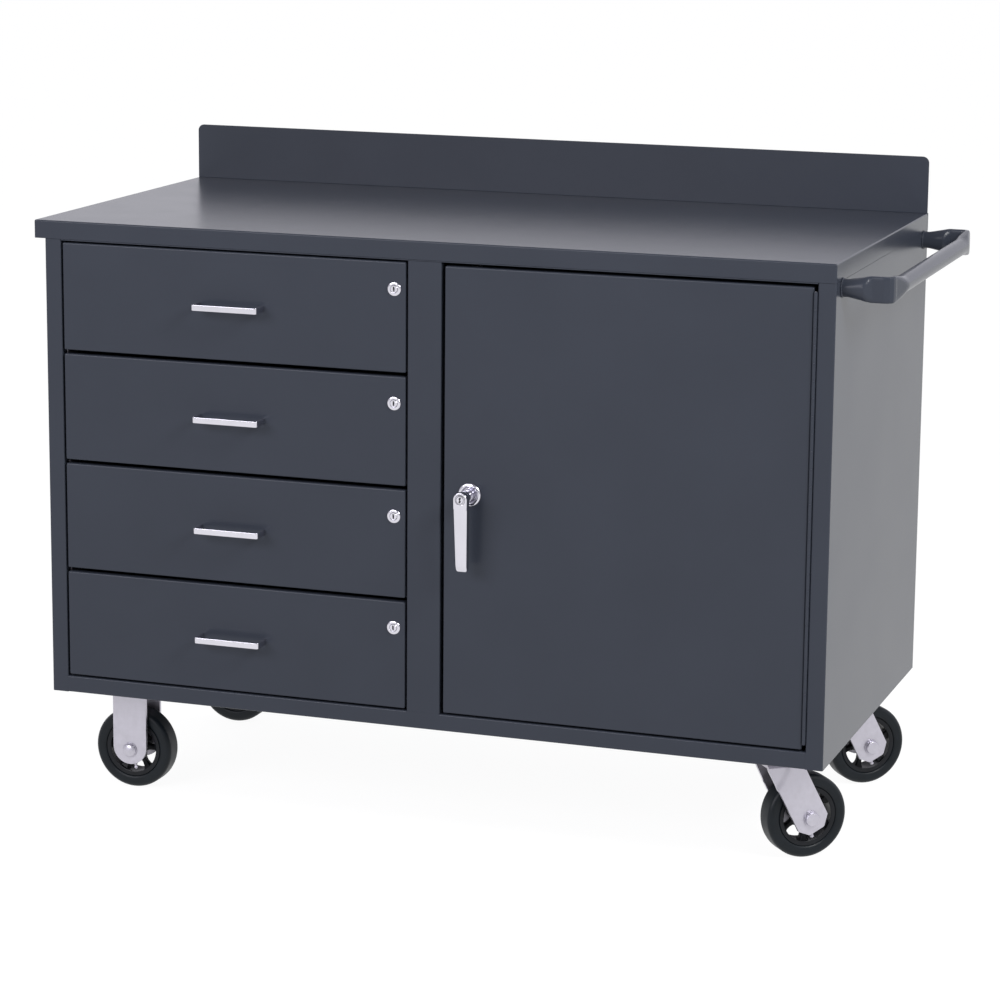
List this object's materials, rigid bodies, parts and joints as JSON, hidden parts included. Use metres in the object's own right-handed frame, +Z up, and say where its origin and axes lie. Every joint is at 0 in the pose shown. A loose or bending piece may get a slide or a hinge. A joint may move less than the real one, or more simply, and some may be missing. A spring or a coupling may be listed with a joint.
{
  "type": "mobile workbench with drawers",
  "caption": "Mobile steel workbench cabinet with locking drawers, a cupboard door with a lever latch, a flanged top with backsplash, a push handle and casters.",
  "frame": {"origin": "middle of the bounding box on the floor, under the wheels", "axes": "+X to the right seen from the front and along the longest side, +Y from the drawer fronts to the back, +Z up"},
  "size_m": [1.3192, 0.6538, 0.991],
  "materials": {
    "powder_coat": "semi-gloss slate powder coat",
    "zinc_plate": "bright zinc plate",
    "chrome": "polished",
    "rubber_tread": "satin moulded rubber",
    "cast_core": "black paint"
  },
  "bodies": {
    "root": {"left_end_panel": "powder_coat", "right_end_panel": "powder_coat", "back_panel": "powder_coat", "bottom_panel": "powder_coat", "center_partition": "powder_coat", "front_header": "powder_coat", "work_top": "powder_coat", "backsplash": "powder_coat", "push_handle": "powder_coat", "shelf": "powder_coat", "slide_rack_left": "zinc_plate", "slide_rack_right": "zinc_plate", "hinge_frame_leaf": "powder_coat", "rigid_fork_front": "zinc_plate", "rigid_fork_rear": "zinc_plate", "axle_rigid_front": "zinc_plate", "axle_rigid_rear": "zinc_plate", "swivel_plate_front": "zinc_plate", "swivel_plate_rear": "zinc_plate"},
    "drawer_1": {"drawer_front_1": "powder_coat", "drawer_box_1": "powder_coat", "drawer_pull_1": "chrome", "drawer_lock_body_1": "chrome"},
    "drawer_lock_1": {"drawer_lock_plug_1": "chrome"},
    "drawer_2": {"drawer_front_2": "powder_coat", "drawer_box_2": "powder_coat", "drawer_pull_2": "chrome", "drawer_lock_body_2": "chrome"},
    "drawer_lock_2": {"drawer_lock_plug_2": "chrome"},
    "drawer_3": {"drawer_front_3": "powder_coat", "drawer_box_3": "powder_coat", "drawer_pull_3": "chrome", "drawer_lock_body_3": "chrome"},
    "drawer_lock_3": {"drawer_lock_plug_3": "chrome"},
    "drawer_4": {"drawer_front_4": "powder_coat", "drawer_box_4": "powder_coat", "drawer_pull_4": "chrome", "drawer_lock_body_4": "chrome"},
    "drawer_lock_4": {"drawer_lock_plug_4": "chrome"},
    "door": {"door_panel": "powder_coat", "hinge_door_leaf": "powder_coat", "handle_rose": "chrome"},
    "handle": {"door_handle": "chrome", "latch_cam": "zinc_plate"},
    "handle_key_plug": {"handle_lock_plug": "chrome"},
    "rod_upper": {"lock_rod_upper": "zinc_plate"},
    "rod_lower": {"lock_rod_lower": "zinc_plate"},
    "wheel_rigid_front": {"tyre_rigid_front": "rubber_tread", "wheel_core_rigid_front": "cast_core"},
    "swivel_front": {"swivel_fork_front": "zinc_plate", "axle_swivel_front": "zinc_plate"},
    "wheel_swivel_front": {"tyre_swivel_front": "rubber_tread", "wheel_core_swivel_front": "cast_core"},
    "wheel_rigid_rear": {"tyre_rigid_rear": "rubber_tread", "wheel_core_rigid_rear": "cast_core"},
    "swivel_rear": {"swivel_fork_rear": "zinc_plate", "axle_swivel_rear": "zinc_plate"},
    "wheel_swivel_rear": {"tyre_swivel_rear": "rubber_tread", "wheel_core_swivel_rear": "cast_core"}
  },
  "joints": [
    {"name": "drawer_1_slide", "type": "slide", "parent": "root", "child": "drawer_1", "axis": [0, -1, 0], "range_m": [0, 0.42]},
    {"name": "drawer_1_lock_turn", "type": "hinge", "parent": "drawer_1", "child": "drawer_lock_1", "pos_m": [-0.0791, -0.2831, 0.8307], "axis": [0, 1, 0], "range_deg": [0, 90]},
    {"name": "drawer_2_slide", "type": "slide", "parent": "root", "child": "drawer_2", "axis": [0, -1, 0], "range_m": [0, 0.42]},
    {"name": "drawer_2_lock_turn", "type": "hinge", "parent": "drawer_2", "child": "drawer_lock_2", "pos_m": [-0.0791, -0.2831, 0.66165], "axis": [0, 1, 0], "range_deg": [0, 90]},
    {"name": "drawer_3_slide", "type": "slide", "parent": "root", "child": "drawer_3", "axis": [0, -1, 0], "range_m": [0, 0.42]},
    {"name": "drawer_3_lock_turn", "type": "hinge", "parent": "drawer_3", "child": "drawer_lock_3", "pos_m": [-0.0791, -0.2831, 0.4926], "axis": [0, 1, 0], "range_deg": [0, 90]},
    {"name": "drawer_4_slide", "type": "slide", "parent": "root", "child": "drawer_4", "axis": [0, -1, 0], "range_m": [0, 0.42]},
    {"name": "drawer_4_lock_turn", "type": "hinge", "parent": "drawer_4", "child": "drawer_lock_4", "pos_m": [-0.0791, -0.2831, 0.32355], "axis": [0, 1, 0], "range_deg": [0, 90]},
    {"name": "door_swing", "type": "hinge", "parent": "root", "child": "door", "pos_m": [0.5479, -0.2831, 0.5346], "axis": [0, 0, 1], "range_deg": [0, 165]},
    {"name": "handle_turn", "type": "hinge", "parent": "door", "child": "handle", "pos_m": [0.0394, -0.2831, 0.5346], "axis": [0, -1, 0], "range_deg": [0, 90]},
    {"name": "handle_key_turn", "type": "hinge", "parent": "handle", "child": "handle_key_plug", "pos_m": [0.0394, -0.3261, 0.5346], "axis": [0, 1, 0], "range_deg": [0, 90]},
    {"name": "rod_upper_slide", "type": "slide", "parent": "door", "child": "rod_upper", "axis": [0, 0, 1], "range_m": [0, 0.016]},
    {"name": "rod_lower_slide", "type": "slide", "parent": "door", "child": "rod_lower", "axis": [0, 0, -1], "range_m": [0, 0.016]},
    {"name": "wheel_rigid_front_roll", "type": "hinge", "parent": "root", "child": "wheel_rigid_front", "pos_m": [-0.5506, -0.1761, 0.0635], "axis": [0, 1, 0], "continuous": true},
    {"name": "swivel_front_turn", "type": "hinge", "parent": "root", "child": "swivel_front", "pos_m": [0.4854, -0.1761, 0.15], "axis": [0, 0, 1], "continuous": true},
    {"name": "wheel_swivel_front_roll", "type": "hinge", "parent": "swivel_front", "child": "wheel_swivel_front", "pos_m": [0.51757, -0.1491, 0.0635], "axis": [-0.6428, 0.766, 0], "continuous": true},
    {"name": "wheel_rigid_rear_roll", "type": "hinge", "parent": "root", "child": "wheel_rigid_rear", "pos_m": [-0.5506, 0.2199, 0.0635], "axis": [0, 1, 0], "continuous": true},
    {"name": "swivel_rear_turn", "type": "hinge", "parent": "root", "child": "swivel_rear", "pos_m": [0.4854, 0.2199, 0.15], "axis": [0, 0, 1], "continuous": true},
    {"name": "wheel_swivel_rear_roll", "type": "hinge", "parent": "swivel_rear", "child": "wheel_swivel_rear", "pos_m": [0.51757, 0.2469, 0.0635], "axis": [-0.6428, 0.766, 0], "continuous": true}
  ],
  "couplings": [
    {"joint": "rod_upper_slide", "follows": "handle_turn", "m_per_rad": 0.01},
    {"joint": "rod_lower_slide", "follows": "handle_turn", "m_per_rad": 0.01}
  ]
}
